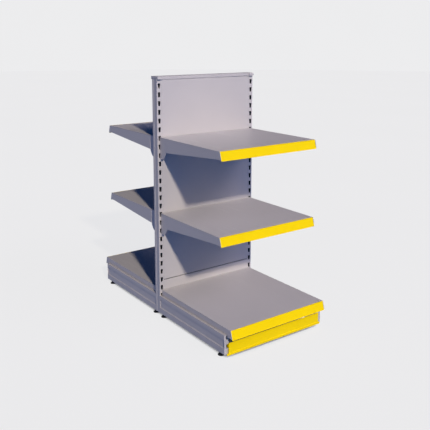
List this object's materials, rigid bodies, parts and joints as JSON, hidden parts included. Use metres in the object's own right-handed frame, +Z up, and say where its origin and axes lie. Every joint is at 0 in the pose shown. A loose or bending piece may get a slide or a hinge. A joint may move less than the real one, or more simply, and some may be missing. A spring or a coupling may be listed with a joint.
{
  "type": "gondola shelving unit",
  "caption": "Free-standing double-sided shop shelving bay with slotted posts, back panels, base decks, bracketed shelves, ticket strips and levelling feet.",
  "frame": {"origin": "on the floor under the middle of the bay, midway between the two posts and between the two sides", "axes": "+X along the bay from the left post to the right post, the front faces -Y, +Z up"},
  "size_m": [0.7, 1.434, 1.435],
  "materials": {
    "grey_enamel": "satin light grey powder coat with a fine texture",
    "yellow_plastic": "satin yellow extruded plastic",
    "yellow_enamel": "satin yellow powder coat",
    "black_plastic": "moulded black plastic foot on a zinc plated stud",
    "zinc_steel": "bright zinc plating"
  },
  "bodies": {
    "frame": {"post_left": "grey_enamel", "post_right": "grey_enamel", "tie_beam_lower": "grey_enamel", "tie_beam_upper": "grey_enamel", "top_cap": "grey_enamel", "back_panel_front_base": "grey_enamel", "back_panel_front_lower": "grey_enamel", "back_panel_front_middle": "grey_enamel", "back_panel_front_upper": "grey_enamel", "base_leg_front_left": "grey_enamel", "foot_nut_inner_front_left": "zinc_steel", "foot_nut_outer_front_left": "zinc_steel", "base_leg_front_right": "grey_enamel", "foot_nut_inner_front_right": "zinc_steel", "foot_nut_outer_front_right": "zinc_steel", "back_panel_rear_base": "grey_enamel", "back_panel_rear_lower": "grey_enamel", "back_panel_rear_middle": "grey_enamel", "back_panel_rear_upper": "grey_enamel", "base_leg_rear_left": "grey_enamel", "foot_nut_inner_rear_left": "zinc_steel", "foot_nut_outer_rear_left": "zinc_steel", "base_leg_rear_right": "grey_enamel", "foot_nut_inner_rear_right": "zinc_steel", "foot_nut_outer_rear_right": "zinc_steel"},
    "foot_inner_front_left": {"foot_inner_front_left": "black_plastic"},
    "foot_outer_front_left": {"foot_outer_front_left": "black_plastic"},
    "foot_inner_front_right": {"foot_inner_front_right": "black_plastic"},
    "foot_outer_front_right": {"foot_outer_front_right": "black_plastic"},
    "base_deck_front": {"base_deck_front": "grey_enamel", "base_ticket_strip_front": "yellow_plastic"},
    "kickplate_front": {"kickplate_front": "yellow_enamel"},
    "shelf_brackets_lower_front": {"shelf_bracket_lower_front_left": "grey_enamel", "shelf_bracket_lower_front_right": "grey_enamel"},
    "shelf_lower_front": {"shelf_lower_front": "grey_enamel", "ticket_strip_lower_front": "yellow_plastic"},
    "shelf_brackets_upper_front": {"shelf_bracket_upper_front_left": "grey_enamel", "shelf_bracket_upper_front_right": "grey_enamel"},
    "shelf_upper_front": {"shelf_upper_front": "grey_enamel", "ticket_strip_upper_front": "yellow_plastic"},
    "foot_inner_rear_left": {"foot_inner_rear_left": "black_plastic"},
    "foot_outer_rear_left": {"foot_outer_rear_left": "black_plastic"},
    "foot_inner_rear_right": {"foot_inner_rear_right": "black_plastic"},
    "foot_outer_rear_right": {"foot_outer_rear_right": "black_plastic"},
    "base_deck_rear": {"base_deck_rear": "grey_enamel", "base_ticket_strip_rear": "yellow_plastic"},
    "kickplate_rear": {"kickplate_rear": "yellow_enamel"},
    "shelf_brackets_lower_rear": {"shelf_bracket_lower_rear_left": "grey_enamel", "shelf_bracket_lower_rear_right": "grey_enamel"},
    "shelf_lower_rear": {"shelf_lower_rear": "grey_enamel", "ticket_strip_lower_rear": "yellow_plastic"},
    "shelf_brackets_upper_rear": {"shelf_bracket_upper_rear_left": "grey_enamel", "shelf_bracket_upper_rear_right": "grey_enamel"},
    "shelf_upper_rear": {"shelf_upper_rear": "grey_enamel", "ticket_strip_upper_rear": "yellow_plastic"}
  },
  "joints": [
    {"name": "foot_inner_front_left_screw", "type": "slide", "parent": "frame", "child": "foot_inner_front_left", "axis": [0, 0, -1], "range_m": [-0.005, 0.015]},
    {"name": "foot_outer_front_left_screw", "type": "slide", "parent": "frame", "child": "foot_outer_front_left", "axis": [0, 0, -1], "range_m": [-0.005, 0.015]},
    {"name": "foot_inner_front_right_screw", "type": "slide", "parent": "frame", "child": "foot_inner_front_right", "axis": [0, 0, -1], "range_m": [-0.005, 0.015]},
    {"name": "foot_outer_front_right_screw", "type": "slide", "parent": "frame", "child": "foot_outer_front_right", "axis": [0, 0, -1], "range_m": [-0.005, 0.015]},
    {"name": "base_deck_front_lift_off", "type": "slide", "parent": "frame", "child": "base_deck_front", "axis": [0, 0, 1], "range_m": [0, 0.12]},
    {"name": "kickplate_front_pull_off", "type": "slide", "parent": "frame", "child": "kickplate_front", "axis": [0, -1, 0], "range_m": [0, 0.08]},
    {"name": "shelf_brackets_lower_front_unhook", "type": "slide", "parent": "frame", "child": "shelf_brackets_lower_front", "axis": [0, 0, 1], "range_m": [0, 0.01]},
    {"name": "shelf_lower_front_lift_off", "type": "slide", "parent": "shelf_brackets_lower_front", "child": "shelf_lower_front", "axis": [0, 0, 1], "range_m": [0, 0.12]},
    {"name": "shelf_brackets_upper_front_unhook", "type": "slide", "parent": "frame", "child": "shelf_brackets_upper_front", "axis": [0, 0, 1], "range_m": [0, 0.01]},
    {"name": "shelf_upper_front_lift_off", "type": "slide", "parent": "shelf_brackets_upper_front", "child": "shelf_upper_front", "axis": [0, 0, 1], "range_m": [0, 0.12]},
    {"name": "foot_inner_rear_left_screw", "type": "slide", "parent": "frame", "child": "foot_inner_rear_left", "axis": [0, 0, -1], "range_m": [-0.005, 0.015]},
    {"name": "foot_outer_rear_left_screw", "type": "slide", "parent": "frame", "child": "foot_outer_rear_left", "axis": [0, 0, -1], "range_m": [-0.005, 0.015]},
    {"name": "foot_inner_rear_right_screw", "type": "slide", "parent": "frame", "child": "foot_inner_rear_right", "axis": [0, 0, -1], "range_m": [-0.005, 0.015]},
    {"name": "foot_outer_rear_right_screw", "type": "slide", "parent": "frame", "child": "foot_outer_rear_right", "axis": [0, 0, -1], "range_m": [-0.005, 0.015]},
    {"name": "base_deck_rear_lift_off", "type": "slide", "parent": "frame", "child": "base_deck_rear", "axis": [0, 0, 1], "range_m": [0, 0.12]},
    {"name": "kickplate_rear_pull_off", "type": "slide", "parent": "frame", "child": "kickplate_rear", "axis": [0, 1, 0], "range_m": [0, 0.08]},
    {"name": "shelf_brackets_lower_rear_unhook", "type": "slide", "parent": "frame", "child": "shelf_brackets_lower_rear", "axis": [0, 0, 1], "range_m": [0, 0.01]},
    {"name": "shelf_lower_rear_lift_off", "type": "slide", "parent": "shelf_brackets_lower_rear", "child": "shelf_lower_rear", "axis": [0, 0, 1], "range_m": [0, 0.12]},
    {"name": "shelf_brackets_upper_rear_unhook", "type": "slide", "parent": "frame", "child": "shelf_brackets_upper_rear", "axis": [0, 0, 1], "range_m": [0, 0.01]},
    {"name": "shelf_upper_rear_lift_off", "type": "slide", "parent": "shelf_brackets_upper_rear", "child": "shelf_upper_rear", "axis": [0, 0, 1], "range_m": [0, 0.12]}
  ]
}
